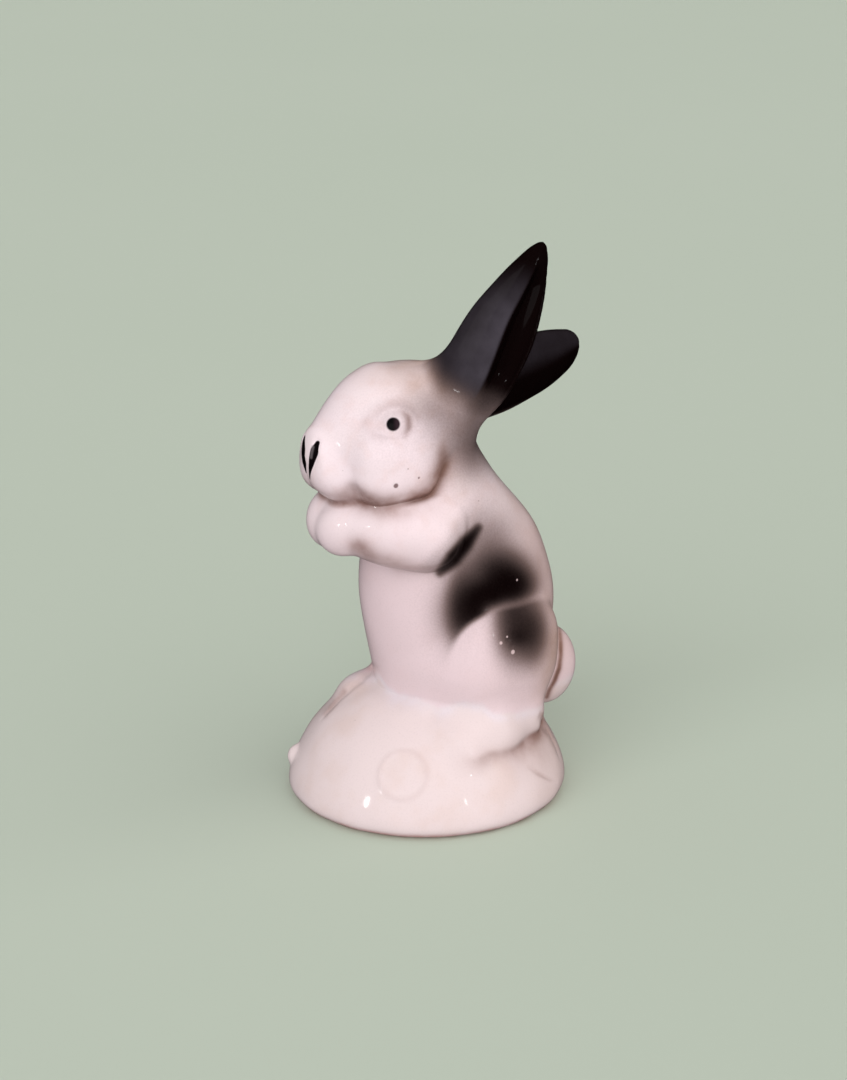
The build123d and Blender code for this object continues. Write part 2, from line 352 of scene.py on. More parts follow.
def handwork(P):
    """What the surface is lowered by, in millimetres: creases, dents and the unevenness of a thing made by hand."""
    X, Y, Z = P[..., 0], P[..., 1], P[..., 2]
    A = P.copy()
    A[..., 0] = np.abs(X)
    out = F(0.10) * np.sin(F(0.31) * X + F(1.3)) * np.sin(F(0.27) * Y + F(0.4)) * np.sin(F(0.33) * Z + F(2.1))
    low = 1 - ss(Z, 20, 28)
    out = out + F(0.06) * low * np.sin(F(0.42) * X + F(0.3) * Z + F(1)) * np.sin(F(0.37) * Y - F(0.2) * Z + F(2))
    for pts, depth, width, both in CREASES:
        Q = A if both else P
        c = np.mean(pts, 0)
        reach = max(np.linalg.norm(np.array(q) - c) for q in pts) + 3 * width
        m = ((Q - c.astype(F)) ** 2).sum(-1) < reach * reach
        if m.any():
            d, u = near(Q[m], pts)
            out[m] += np.interp(u, np.linspace(0, 1, len(depth)), depth).astype(F) * np.exp(-((d / F(width)) ** 2))
    for c, depth, r, both in DENTS:
        q = (A if both else P) - np.array(c, F)
        out += F(depth) * np.exp(-((q * q).sum(-1) / F(r * r)))
    q = np.sqrt(((P - np.array(RING, F)) ** 2).sum(-1))
    out -= F(0.20) * np.exp(-(((q - F(6.1)) / F(0.8)) ** 2))
    return out


def surface(P, p=None):
    """The finished outside of the figurine: castings run together with soft or crisp joints."""
    p = p or forms(P)
    X, Y, Z = P[..., 0], P[..., 1], P[..., 2]
    aX = np.abs(X)
    kf = F(1.4) + F(4) * ss(Z, 70, 82) * ss(Y, -10, 2)
    d = smin(p["torso"], p["foreleg"], kf)
    kn = F(1.6) + F(5) * ss(Z, 92, 102) + F(3) * ss(Y, -2, 8) * ss(Z, 82, 92) + F(1.4) * ss(Y, -23, -18) * (1 - ss(Y, -13, -9))
    d = smin(d, p["head"], kn)
    d = smin(d, p["_ear_l"], F(5) + F(5) * (1 - ss(Y, 2, 9)))
    d = smin(d, p["_ear_r"], 6)
    kh = F(1.3) + F(9) * (1 - ss(Z, 36, 52)) * (1 - ss(Y, 2, 20))
    d = smin(d, p["haunch"], kh)
    kb = F(1.0) + F(4) * (1 - ss(Y, -2, 12)) + F(5) * ss(Z, 20, 26)
    b = smin(p["mound"], p["foot"], kb)
    km = F(1.8) + F(5) * ss(aX, 6, 15)
    d = smin(d, b, km)
    d = smin(d, p["tail"], 0.8)
    d = d + handwork(P) + jowl_fold(P, p)
    d = smin(d, p["eye"], 0.5)
    d = smax(d, -Z, 0.5)
    vent = np.maximum(np.sqrt(X * X + (Y - F(VENT_Y)) ** 2) - F(1.5), Z - F(5))
    return smax(d, -vent, 0.3)


# ---------------------------------------------------------------- the outside as one skin
STEP = 0.5
LOW = np.array([-40.0, -42.0, -2.0])
SIZE = np.array([80, 96, 150])  # in millimetres
pool = ThreadPoolExecutor(4)


def spread(fn, P, chunk=30000):
    """fn over many points, in chunks."""
    P = P.astype(F)
    parts = [P[i:i + chunk] for i in range(0, len(P), chunk)]
    return np.concatenate(list(pool.map(fn, parts)))


def grid_points(idx, h):
    return LOW + idx * h


def skin():
    """Closed quad mesh of the outside, from samples near it only."""
    n = np.round(SIZE / STEP).astype(int)
    D = np.full(n, 9.0, F)
    big = 4.0
    nb = np.ceil(SIZE / big).astype(int)
    bi = np.stack(np.meshgrid(*[np.arange(k) for k in nb], indexing="ij"), -1).reshape(-1, 3)
    d = spread(surface, LOW + (bi + 0.5) * big)
    r = int(round(big / STEP))
    for b, v in zip(bi[d < -6.5], d[d < -6.5]):
        D[b[0] * r:(b[0] + 1) * r, b[1] * r:(b[1] + 1) * r, b[2] * r:(b[2] + 1) * r] = -9
    near_b = bi[np.abs(d) <= 6.5]
    sub = np.stack(np.meshgrid(*[np.arange(4)] * 3, indexing="ij"), -1).reshape(-1, 3)
    mi = (near_b[:, None] * 4 + sub[None]).reshape(-1, 3)  # one-millimetre cells
    d = spread(surface, LOW + (mi + 0.5) * 1.0)
    r = int(round(1.0 / STEP))
    off = np.stack(np.meshgrid(*[np.arange(r)] * 3, indexing="ij"), -1).reshape(-1, 3)
    far = np.abs(d) > 2.0
    fi = (mi[far][:, None] * r + off[None]).reshape(-1, 3)
    ok = (fi < n).all(1)
    D[tuple(fi[ok].T)] = np.repeat(np.sign(d[far]) * 9, r**3)[ok]
    fi = (mi[~far][:, None] * r + off[None]).reshape(-1, 3)
    fi = fi[(fi < n).all(1)]
    D[tuple(fi.T)] = spread(surface, LOW + fi * STEP)
    inside = D < 0
    corner = np.array([(i, j, k) for i in (0, 1) for j in (0, 1) for k in (0, 1)])
    count = np.zeros(n - 1, np.int8)
    for i, j, k in corner:
        count += inside[i:n[0] - 1 + i, j:n[1] - 1 + j, k:n[2] - 1 + k]
    cells = np.argwhere((count > 0) & (count < 8))
    val = np.stack([D[tuple((cells + c).T)] for c in corner], 1)
    total = np.zeros((len(cells), 3))
    hits = np.zeros(len(cells))
    for a in range(8):
        for b in range(a + 1, 8):
            if np.abs(corner[a] - corner[b]).sum() != 1:
                continue
            m = (val[:, a] < 0) != (val[:, b] < 0)
            t = val[m, a] / (val[m, a] - val[m, b])
            total[m] += corner[a] + t[:, None] * (corner[b] - corner[a])
            hits[m] += 1
    verts = LOW + (cells + total / hits[:, None]) * STEP
    ids = np.full(n - 1, -1, np.int32)
    ids[tuple(cells.T)] = np.arange(len(cells))
    quads = []
    for ax in range(3):
        u, v = [(1, 2), (2, 0), (0, 1)][ax]
        lo = [1, 1, 1]
        hi = list(n - 1)
        lo[ax] = 0
        sl = tuple(slice(a, b) for a, b in zip(lo, hi))
        nx = list(zip(lo, hi))
        nx[ax] = (1, n[ax])
        sl2 = tuple(slice(a, b) for a, b in nx)
        first, second = inside[sl], inside[sl2]
        for flip, mask in ((False, first & ~second), (True, ~first & second)):
            e = np.argwhere(mask) + lo
            du = np.zeros(3, int)
            dv = np.zeros(3, int)
            du[u] = 1
            dv[v] = 1
            q = np.stack([ids[tuple(x.T)] for x in (e - du - dv, e - dv, e, e - du)], 1)
            quads.append(q[:, ::-1] if flip else q)
    return verts, np.concatenate(quads)


TET = np.array([(1, 1, 1), (1, -1, -1), (-1, 1, -1), (-1, -1, 1)], float)


def slope(P, e=0.06):
    g = np.zeros(P.shape)
    for t in TET:
        g += t * spread(surface, P + t * e)[:, None]
    return g / (4 * e)


def settle(P, rounds=2):
    """Moves points onto the outside; returns them and the outward direction there."""
    for _ in range(rounds):
        g = slope(P)
        d = spread(surface, P)
        step = d / np.maximum((g * g).sum(1), 0.2)
        P = P - np.clip(step, -0.4, 0.4)[:, None] * g
    g = slope(P)
    return P, g / np.maximum(np.linalg.norm(g, axis=1, keepdims=True), 1e-9)


def relax(P, N, quads, share=0.5):
    """Evens out the spacing along the skin."""
    s = np.zeros(P.shape)
    c = np.zeros(len(P))
    for a, b in ((0, 1), (1, 2), (2, 3), (3, 0)):
        for i, j in ((a, b), (b, a)):
            for k in range(3):
                s[:, k] += np.bincount(quads[:, i], P[quads[:, j], k], len(P))
            c += np.bincount(quads[:, i], minlength=len(P))
    m = s / c[:, None] - P
    m -= N * (m * N).sum(1, keepdims=True)
    return P + share * m


NAMES = ["mound_base", "torso_shell", "head_shell", "left_ear", "right_ear", "left_foreleg", "right_foreleg",
         "left_haunch", "right_haunch", "left_hind_foot", "right_hind_foot", "tail", "left_eye", "right_eye"]


def shares(P):
    """For each point, how near each casting is: the smallest says whose skin it is."""
    p = forms(P)
    X = P[..., 0]
    out = [p["mound"], p["torso"], p["head"], p["ear_l"], p["ear_r"]]
    for k in ("foreleg", "haunch", "foot"):
        out += [np.maximum(p[k], -X), np.maximum(p[k], X)]
    out += [p["tail"], np.maximum(p["eye"], -X), np.maximum(p["eye"], X)]
    return np.stack(out, -1)


def tidy(label, quads):
    """Hands small islands of a casting over to the casting round them."""
    n = len(label)
    e = np.concatenate([quads[:, [0, 1]], quads[:, [1, 2]], quads[:, [2, 3]], quads[:, [3, 0]]])
    for _ in range(3):
        comp = np.arange(n)
        same = e[label[e[:, 0]] == label[e[:, 1]]]
        while True:
            low = np.minimum(comp[same[:, 0]], comp[same[:, 1]])
            new = comp.copy()
            np.minimum.at(new, same[:, 0], low)
            np.minimum.at(new, same[:, 1], low)
            new = new[new]
            if (new == comp).all():
                break
            comp = new
        root, size = np.unique(comp, return_counts=True)
        best = {}
        for r, s in zip(root, size):
            best[label[r]] = max(best.get(label[r], 0), s)
        small = [r for r, s in zip(root, size) if s < best[label[r]]]
        if not small:
            break
        for r in small:
            m = comp == r
            edge = e[m[e[:, 0]] ^ m[e[:, 1]]]
            other = np.where(m[edge[:, 0]], edge[:, 1], edge[:, 0])
            label[m] = np.bincount(label[other]).argmax()
    return label


def divide(P, quads, label, field):
    """Cuts the skin along the joints. Returns points and, for each casting, its faces."""
    extra = []
    cut = {}
    faces = [[] for _ in NAMES]
    whole = (label[quads] == label[quads[:, :1]]).all(1)
    base = len(P)

    def crossing(a, b):
        key = (a, b) if a < b else (b, a)
        if key not in cut:
            a, b = key
            i, j = label[a], label[b]
            ga, gb = field[a, i] - field[a, j], field[b, i] - field[b, j]
            t = ga / (ga - gb) if ga * gb < 0 else 0.5
            t = min(max(t, 0.04), 0.96)
            cut[key] = base + len(extra)
            extra.append(P[a] * (1 - t) + P[b] * t)
        return cut[key]

    for q in quads[~whole]:
        for tri in ((q[0], q[1], q[2]), (q[0], q[2], q[3])):
            la = [label[i] for i in tri]
            if la[0] == la[1] == la[2]:
                faces[la[0]].append(tuple(tri))
            elif len(set(la)) == 2:
                k = 0 if la[1] == la[2] else 1 if la[0] == la[2] else 2
                a, b, c = tri[k], tri[(k + 1) % 3], tri[(k + 2) % 3]
                ab, ca = crossing(a, b), crossing(a, c)
                faces[label[a]].append((a, ab, ca))
                faces[label[b]].append((ab, b, c, ca))
            else:
                a, b, c = tri
                ab, bc, ca = crossing(a, b), crossing(b, c), crossing(a, c)
                mid = base + len(extra)
                extra.append((P[a] + P[b] + P[c]) / 3)
                faces[label[a]].append((a, ab, mid, ca))
                faces[label[b]].append((b, bc, mid, ab))
                faces[label[c]].append((c, ca, mid, bc))
    for i in range(len(NAMES)):
        faces[i] = [quads[whole & (label[quads[:, 0]] == i)], faces[i]]
    return np.concatenate([P, np.array(extra).reshape(-1, 3)]), faces


def rims(polys):
    """Closed loops of open edges, in order, so that a lid turned the other way closes them."""
    flow = {}
    for p in polys:
        for a, b in zip(p, list(p[1:]) + [p[0]]):
            flow[(a, b)] = flow.get((a, b), 0) + 1
            flow[(b, a)] = flow.get((b, a), 0) - 1
    nxt = {}
    for (a, b), k in flow.items():
        for _ in range(max(k, 0)):
            nxt.setdefault(a, []).append(b)
    loops = []
    while nxt:
        loop = [next(iter(nxt))]
        while True:
            b = nxt[loop[-1]].pop()
            if not nxt[loop[-1]]:
                del nxt[loop[-1]]
            if b in loop:  # back at a point already passed: one loop is whole
                k = loop.index(b)
                loops.append(loop[k:])
                loop = loop[:k + 1]
                if k == 0:
                    break
            else:
                loop.append(b)
    return [q for q in loops if len(q) > 2]


# where the painted places and flaws lie
FLANK = [((20.6, 12.8, 59.2), 3.6, 2.5, 2.65), ((20.8, 3.6, 55.6), 1.7, 3.5, 1.93), ((20.2, 0.3, 55.2), 2.3, 5.3, 1.8), ((20.6, 10.5, 63.5), 4.6, 3.2, 1.45), ((20.0, 7.4, 71.1), 4.9, 5.8, 0.46), ((18.9, -3.5, 54.5), 3.2, 6.1, 0.24), ((21.1, 7.0, 58.1), 2.1, 1.9, 2.06)]
SPOT = [((23.8, 18.0, 47.4), 2.5, 4.9, 1.09), ((23.4, 12.8, 51.6), 3.0, 6.1, 1.4), ((25.0, 13.2, 47.3), 1.8, 1.5, 0.55)]
TAN = [((18.8, 0.5, 83.9), 6.6, 6.1, 0.2), ((16.1, -0.9, 92.3), 3.0, 4.6, 0.18), ((6.8, 37.6, 31.9), 2.5, 6.1, 0.12), ((26.4, 7.6, 37.3), 5.6, 4.1, 0.06), ((24.2, 22.7, 11.3), 5.6, 9.1, 0.08), ((5.9, -14.2, 113.0), 7.6, 2.3, 0.22), ((10.7, -9.7, 110.6), 5.1, 2.5, 0.12)]
NAPE = [((13.6, 6.0, 94.2), 4.3, 5.3, 0.54), ((15.7, 1.9, 103.7), 4.1, 4.1, 0.2), ((13.7, -4.9, 108.3), 3.3, 4.3, 0.24), ((13.1, -10.8, 107.9), 3.5, 3.0, 0.06), ((16.8, -5.6, 100.7), 3.0, 4.1, 0.08), ((15.4, -16.4, 103.1), 6.6, 4.6, 0.08), ((14.8, 7.8, 106.1), 2.3, 3.3, 0.48)]
CREST = [(19.7, -4.1, 43.2), (20.1, -2.7, 46.1), (20.7, -0.8, 48.9), (21.1, 1.8, 51.8), (21.2, 4.7, 53.8), (21.3, 8.6, 55.0), (20.8, 13.5, 55.4), (19.3, 18.8, 55.4), (15.3, 25.7, 54.6)]
SEAM = [(-1.8, -13.9, 33.9), (4.9, -12.7, 30.6), (8.1, -11.4, 29.7), (12.4, -9.2, 30.1), (16.0, -6.8, 30.0), (18.1, -5.5, 29.1), (20.7, -2.6, 30.2), (23.3, 0.0, 31.5), (25.0, 3.6, 30.4), (25.6, 5.9, 28.6), (25.5, 10.4, 27.5), (23.4, 16.3, 25.9)]
ELBOW_FOLD = [(18.0, -5.0, 64.9), (20.5, -3.1, 68.3), (19.8, 0.7, 71.4), (19.3, 4.7, 75.4)]
JOWL = [(17.1, -3.6, 97.2), (16.9, -3.7, 93.6), (16.9, -5.1, 90.0), (16.8, -7.4, 86.2), (15.5, -10.6, 83.7), (16.3, -15.3, 83.3), (16.3, -19.0, 84.0), (15.0, -22.4, 85.1)]
CHIN = [(10.0, -24.1, 84.4), (6.5, -26.6, 82.7), (0.7, -27.9, 80.9), (-4.2, -28.3, 80.5)]
UNDERARM = [(12.8, -24.9, 73.0), (15.4, -21.3, 70.2), (16.3, -16.9, 67.8), (15.2, -11.3, 65.3), (17.6, -5.9, 64.7)]
TAIL_LINE = [(2.2, 37.1, 37.7), (5.5, 35.7, 35.9), (7.6, 34.7, 32.7), (8.4, 33.9, 29.5), (8.4, 32.7, 26.3), (7.7, 31.6, 23.7), (6.2, 31.6, 20.9)]
HEEL = [(21.6, 20.9, 26.1), (20.6, 22.1, 22.2), (20.6, 21.3, 17.7), (25.8, 13.7, 19.1), (27.9, 8.4, 19.6), (28.7, 3.9, 19.4), (29.9, -0.9, 18.0), (29.9, -3.4, 16.8)]
NOSTRILS = [([(4.0, -31.3, 97.4), (4.0, -32.1, 95.5), (3.4, -32.9, 92.4), (1.7, -32.5, 88.1)], (0.75, 1.35, 0.95, 0.2)),
            ([(-2.0, -32.4, 97.4), (-0.9, -33.1, 94.8), (-0.4, -33.1, 91.8), (-0.2, -32.7, 89.3)], (0.7, 1.3, 1.3, 0.3))]
NOSTRIL_SHEEN = [(3.2, -32.3, 96.5), (3.3, -32.8, 94.1)]
PUPIL = (15.3, -16.3, 103.6)
CHIP_GLINTS = [((25.7, 8.1, 46.8), 0.35), ((25.9, 11.4, 43.9), 0.5), ((25.3, 10.0, 48.0), 0.2), ((19.9, 15.4, 60.4), 0.2)]
PINHOLES = [((18.4, -17.0, 89.0), 0.55), ((18.2, -10.8, 90.1), 0.2)]
# brown lines, mostly painted shade along creases and joints, under the jowl and foot and round the eye, with a real
# crack among them
SHADE_AND_STAIN_LINES = [
    ([(17.1, -3.6, 98.2), (17.1, -3.8, 95.4), (17.0, -4.3, 92.7), (17.1, -5.4, 90.1)], [1.01, 1.01, 1.01, 1.01], [0.08, 0.3, 0.34, 0.25]),
    ([(12.3, -22.2, 83.5), (15.9, -18.8, 82.6), (18.1, -14.8, 81.7)], [2.03, 2.28, 1.77], [0.3, 0.36, 0.2]),
    ([(8.4, -26.9, 84.3), (10.2, -24.5, 85.3), (14.7, -22.8, 85.4)], [1.27, 1.52, 1.27], [0.25, 0.4, 0.25]),
    ([(13.8, -24.3, 73.3), (14.3, -22.7, 70.9)], [1.27, 1.27], [0.14, 0.12]),
    ([(13.0, -12.9, 106.1), (14.6, -12.0, 104.4), (15.7, -12.3, 102.5), (16.8, -13.8, 100.4)], [0.51, 0.61, 0.61, 0.51], [0.1, 0.36, 0.4, 0.15]),
    ([(11.5, -21.7, 103.3), (11.1, -20.0, 105.2), (11.3, -17.9, 106.8), (12.0, -15.1, 107.9), (13.0, -12.3, 107.8), (14.1, -10.4, 106.3), (15.2, -9.4, 104.2)], [0.76, 0.76, 0.76, 0.76, 0.76, 1.01, 1.01], [0.1, 0.12, 0.14, 0.15, 0.16, 0.15, 0.08]),
    ([(12.7, -21.8, 102.1), (15.1, -21.0, 100.9), (16.8, -19.1, 100.1)], [0.63, 0.63, 0.63], [0.06, 0.09, 0.05]),
    ([(-2.9, -13.7, 33.4), (-7.8, -15.5, 28.9), (-9.0, -19.2, 26.1)], [1.01, 1.27, 1.27], [0.2, 0.18, 0.15]),
    ([(-9.0, -19.5, 25.6), (-9.5, -21.8, 23.0), (-8.7, -25.0, 20.5)], [0.63, 0.63, 0.63], [0.3, 0.35, 0.2]),
    ([(28.2, 15.1, 13.0), (28.1, 17.5, 10.8), (26.6, 22.0, 7.4)], [0.41, 0.46, 0.41], [0.08, 0.17, 0.1]),
    ([(19.0, 23.9, 22.0), (14.5, 27.4, 15.5), (17.7, 28.1, 11.6)], [0.76, 1.01, 1.01], [0.4, 0.34, 0.15]),
    ([(24.4, 18.8, 15.4), (27.0, 13.2, 16.2)], [3.04, 3.54], [0.16, 0.12]),
]


# ---------------------------------------------------------------- painted places
def blob(P, c, r, R=None):
    q = P - np.array(c)
    if R is not None:
        q = q @ np.asarray(R, float)
    return np.sqrt(((q / np.array(r)) ** 2).sum(-1))


def soft(x, a, b):
    """1 below a, 0 above b."""
    t = np.clip((x - a) / (b - a), 0, 1)
    return 1 - t * t * (3 - 2 * t)


AXES = np.array([[0.4226, 0.9063, 0.0], [-0.2951, 0.1376, 0.9455]])


def flat(P):
    """The airbrush is held square to the left side and a little above it: across and up, in millimetres."""
    return np.asarray(P, float) @ AXES.T


def dab(q, c, sx, sy):
    d = q - flat(c)
    return np.exp(-0.5 * ((d[:, 0] / sx) ** 2 + (d[:, 1] / sy) ** 2))


def stroke(q, A, pts, size, load):
    """Line of paint near the places it is drawn through: its spread, and how much is laid along it."""
    d, u = near(q.astype(F), flat(pts))
    s = np.interp(u, np.linspace(0, 1, len(size)), size)
    away = near(A.astype(F), np.asarray(pts, float))[0]
    return np.interp(u, np.linspace(0, 1, len(load)), load) * np.exp(-0.5 * (d / s) ** 2) * soft(away - s, 3.0, 6.5)


def joint(a, b, wide_a, wide_b):
    """1 along the joint of two castings, thinning out over each of them."""
    gap = b - a
    return np.exp(-((gap / np.where(gap > 0, wide_a, wide_b)) ** 2))


def screen(*masks):
    out = np.ones(len(masks[0]))
    for m in masks:
        out = out * (1 - m)
    return 1 - out


KEYS = ("mound", "torso", "head", "foreleg", "haunch", "foot", "tail")


def castings(Q):
    f = forms(Q)
    return np.stack([f[k] for k in KEYS], -1)


def paint(P, N):
    """Black and tan airbrushing, the tan and the black at the nape partly standing in for shade; painted brown shade in
    creases, with a few real marks; the mound's glaze; where glaze has run thick; and a painted sheen on the ears; all
    from 0 to 1.
    """
    A = P.copy()
    A[:, 0] = np.abs(A[:, 0])
    X, Y, Z = P.T
    q = flat(A)
    NA = N.copy()
    NA[:, 0] *= np.where(X < 0, -1, 1)
    faced = 1 - soft(NA @ np.cross(AXES[0], AXES[1]), 0.0, 0.25)
    own = dict(zip(KEYS, spread(castings, P).T))
    # ears: black, fading out towards the root
    ears = np.zeros(len(P))
    for root, tip, *_ in (EAR_L, EAR_R):
        root, tip = np.array(root), np.array(tip)
        ax = tip - root
        L = np.linalg.norm(ax)
        d = P - root
        u = d @ ax / L
        off = np.linalg.norm(d - np.outer(u, ax / L), axis=1)
        ears = np.maximum(ears, (1 - soft(u, -4.0, 9.0)) * soft(off, 9, 14))
        ears = np.maximum(ears, 0.10 * np.exp(-((np.linalg.norm(d, axis=1) / 12.0) ** 2)))
    # painted reflection: a bluish-grey sheen on the left ear's front panel, up to its ridge
    u, v, n, hw, ht, L = ear_place(P.astype(F), *EAR_L)
    vr = ear_ridge(u, hw, 0.02)
    painted_sheen = ss(u, 0.0, 0.16) * (1 - ss(u, 0.50, 0.88)) * soft(v - vr, -0.6, 0.3) * (0.42 + 0.58 * ss(v / hw, -0.9, 0.0)) * ss(n, -0.5, 1.0)
    u, v, n, hw, ht, L = ear_place(P.astype(F), *EAR_R)
    # a fainter painted reflection on the right ear's upper facet
    painted_sheen = 0.85 * painted_sheen + 0.28 * ss(u, 0.1, 0.35) * soft(v / hw, -0.45, 0.15) * soft(n, -1.0, 0.5) * soft(X, -6.0, -2.0)
    # flank: a cloud that stops at the crest of the thigh, and one on the thigh
    band = 1 - np.exp(-faced * sum(load * dab(q, c, sx, sy) for c, sx, sy, load in FLANK))
    band = band * (0.06 + 0.94 * soft(own["torso"] - own["haunch"], -0.3, 1.5))
    band = band * (0.20 + 0.80 * soft(own["torso"] - own["foreleg"], 0.0, 1.5))
    spot = 1 - np.exp(-faced * sum(load * dab(q, c, sx, sy) for c, sx, sy, load in SPOT))
    spot = spot * (1 - soft(own["torso"] - own["haunch"], -0.6, 1.2))
    upper = 1 - soft(own["torso"] - own["foreleg"], -0.3, 0.6)
    fold = 1 - np.exp(-stroke(q, A, ELBOW_FOLD, [0.7, 1.05, 0.95, 0.65], [0.9, 2.8, 2.8, 1.0]) * faced
                      - stroke(q, A, ELBOW_FOLD, [3.2, 3.2], [0.22, 0.2]) * faced * upper)
    # black airbrush round the nape, partly painted shade where the neck turns from the light
    nape = 1 - np.exp(-sum(load * dab(q, c, sx, sy) for c, sx, sy, load in NAPE))
    black = screen(ears, band, spot, fold, nape * soft(Z, 104, 116))
    # warm tan: airbrush on the crown; on the back, the rear, the back of the thigh and the neck it is partly painted
    # shade on the sides turned from the light
    crown = soft(blob(P, (3, 0, 112), (20, 15, 12)), 0.25, 1.2) * 0.56
    back = (1 - soft(Y, 8, 27)) * soft(np.abs(Z - 66), 20, 40) * 0.42
    haunch = soft(blob(A, (18, 27, 36), (13, 11, 17)), 0.3, 1.2) * 0.46
    rear = (1 - soft(Y, 12, 30)) * soft(Z, 6, 30) * 0.2
    more = 1 - np.exp(-faced * sum(load * dab(q, c, sx, sy) for c, sx, sy, load in TAN))
    tan = np.clip(screen(crown, back, haunch, rear, more), 0, 1)
    # painted shade: brown darkening in creases, along joints, under the jaw, chin and arms and under the feet, with a
    # few real brown marks such as a crack and the faint ring
    body = np.minimum(own["torso"], own["foreleg"])
    shade_and_stain = screen(
        # painted shade on the head's underside, darker where it faces down
        0.26 * soft(N[:, 2], -0.75, 0.05) * soft(own["head"] - body, -0.2, 0.6) * soft(Z, 88, 98),
        stroke(q, A, JOWL, [2.4, 2.4], [0.05, 0.4, 0.6, 0.64, 0.52, 0.2, 0.06, 0.06]) * joint(own["head"], body, 3.8, 1.2),
        stroke(q, A, JOWL, [4.0, 4.0], [0.2, 0.22, 0.18, 0.12, 0.08, 0.05, 0.03, 0.0]) * soft(body - own["head"], -0.4, 0.6),
        stroke(q, A, CHIN, [2.2, 2.2], [0.45, 0.45]) * joint(own["head"], own["foreleg"], 1.2, 1.4),
        stroke(q, A, UNDERARM, [1.7, 1.5], [0.3, 0.34, 0.32, 0.26]) * (0.25 + 0.75 * upper),
        stroke(q, A, TAIL_LINE, [0.5, 0.5], [0.5, 0.7, 0.75, 0.6]) * soft(own["tail"] - np.minimum(own["haunch"], own["torso"]), 0.6, 2.4),
        stroke(q, A, HEEL, [2.8, 2.8], [0.6, 0.55, 0.45, 0.36, 0.3, 0.24, 0.06]) * joint(own["foot"], own["mound"], 1.1, 3.4),
        0.06 * np.exp(-(((np.linalg.norm(P - np.array(RING), axis=1) - 6.1) / 0.7) ** 2)),
        *[stroke(q, A, pts, size, load) * faced if pts[0][0] > 0 else stroke(flat(P), P, pts, size, load) for pts, size, load in SHADE_AND_STAIN_LINES])
    # the mound's glaze meets the body's along a wavy line, where it lies thick
    s = np.array(SEAM)
    a = np.arctan2(s[:, 0], 4.0 - s[:, 1])
    o = np.argsort(a)
    ang = np.arctan2(np.abs(X), 4.0 - Y)
    line = np.interp(ang, a[o], s[o, 2]) + 0.35 * np.sin(ang * 17 + 1.0) * np.sin(ang * 7 + X * 0.1)
    low = soft(Z - line, -0.6, 0.4)
    thick = np.exp(-(((Z - line + 0.8) / 1.3) ** 2))
    return black, tan, shade_and_stain, low, thick, painted_sheen


def hollows(P, N):
    """How shut in a place is: 0 in the open, towards 1 deep in a crease."""
    o = np.zeros(len(P))
    for h, w in ((0.5, 0.30), (1.0, 0.28), (2.0, 0.24), (4.0, 0.18)):
        o += w * np.clip((h - spread(surface, P + N * h)) / h, 0, 1.2)
    return o


# ---------------------------------------------------------------- castings as pieces
P, quads = skin()
P, N = settle(P, 2)
for _ in range(3):
    P, N = settle(relax(P, N, quads), 1)
field = spread(shares, P)
label = tidy(field.argmin(1), quads)
n_skin = len(P)
P, faces = divide(P, quads, label, field)
P[n_skin:], more = settle(P[n_skin:], 2)
N = np.concatenate([N, more])
black, tan, shade_and_stain, low, thick, painted_sheen = paint(P, N)
# how shut in each place is, used in the glaze to paint shade into creases and hollows
crease = hollows(P, N)
A = P * np.where(P[:, :1] < 0, [-1, 1, 1], [1, 1, 1])
crease = crease * (1 - stroke(flat(A), A, JOWL, [3.0, 3.0], [0, 0, 0, 0.1, 0.35, 0.75, 0.85, 0.7]))


def piece(name, i, material):
    polys = [tuple(int(k) for k in q) for q in faces[i][0]] + [tuple(int(k) for k in f) for f in faces[i][1]]
    used = np.unique(np.fromiter((k for p in polys for k in p), np.int64))
    where = {int(k): j for j, k in enumerate(used)}
    outer = [tuple(where[k] for k in p) for p in polys]
    co = [P[used]]
    lids = []
    top = len(used)
    for loop in rims(outer):
        mid = P[used[loop]].mean(0)
        co.append(mid[None])
        lids += [(b, a, top) for a, b in zip(loop, loop[1:] + loop[:1])]
        top += 1
    co = np.concatenate(co)
    me = bpy.data.meshes.new(name)
    me.from_pydata((co * 0.001).tolist(), [], outer + lids)
    me.update()
    n_in = sum(len(p) for p in outer)
    vi = np.zeros(len(me.loops), np.int32)
    me.loops.foreach_get("vertex_index", vi)
    ln = np.zeros((len(vi), 3))
    ln[:n_in] = N[used][vi[:n_in]]
    tri = vi[n_in:].reshape(-1, 3)
    fn = np.cross(co[tri[:, 1]] - co[tri[:, 0]], co[tri[:, 2]] - co[tri[:, 0]])
    fn /= np.maximum(np.linalg.norm(fn, axis=1, keepdims=True), 1e-12)
    ln[n_in:] = np.repeat(fn, 3, 0)
    me.polygons.foreach_set("use_smooth", np.ones(len(me.polygons), bool))
    me.normals_split_custom_set(ln.tolist())
    for key, v in (("soot", black), ("tan", tan), ("shade_and_stain", shade_and_stain), ("crease", crease), ("low", low), ("thick", thick), ("painted_sheen", painted_sheen)):
        a = me.attributes.new(key, "FLOAT", "POINT")
        full = np.zeros(len(co), np.float32)
        full[:len(used)] = v[used]
        a.data.foreach_set("value", full)
    ob = bpy.data.objects.new(name, me)
    bpy.context.scene.collection.objects.link(ob)
    me.materials.append(material)
    return ob


